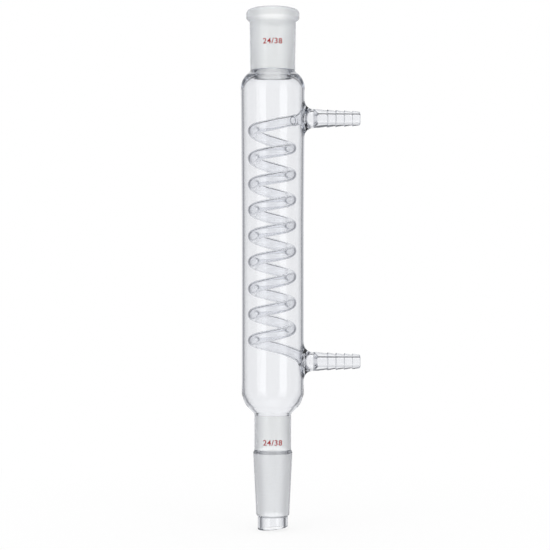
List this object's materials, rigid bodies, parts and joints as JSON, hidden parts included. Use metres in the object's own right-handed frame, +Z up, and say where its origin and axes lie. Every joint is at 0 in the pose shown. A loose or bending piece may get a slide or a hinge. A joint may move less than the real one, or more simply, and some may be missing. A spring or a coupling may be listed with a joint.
{
  "type": "coil condenser",
  "caption": "Clear glass laboratory condenser: a vapour jacket around a helical water tube, ground socket above, ground cone and drip tip below, serrated hose connections at the side.",
  "frame": {"origin": "centre of the lower ground cone's large end", "axes": "+Z up the condenser's axis towards the socket, both hose connections along +X"},
  "size_m": [0.0731, 0.0392, 0.3183],
  "materials": {
    "glass": "clear and fire polished, fine ground on both tapered joints"
  },
  "bodies": {
    "root": {"condenser": "glass"}
  },
  "joints": []
}
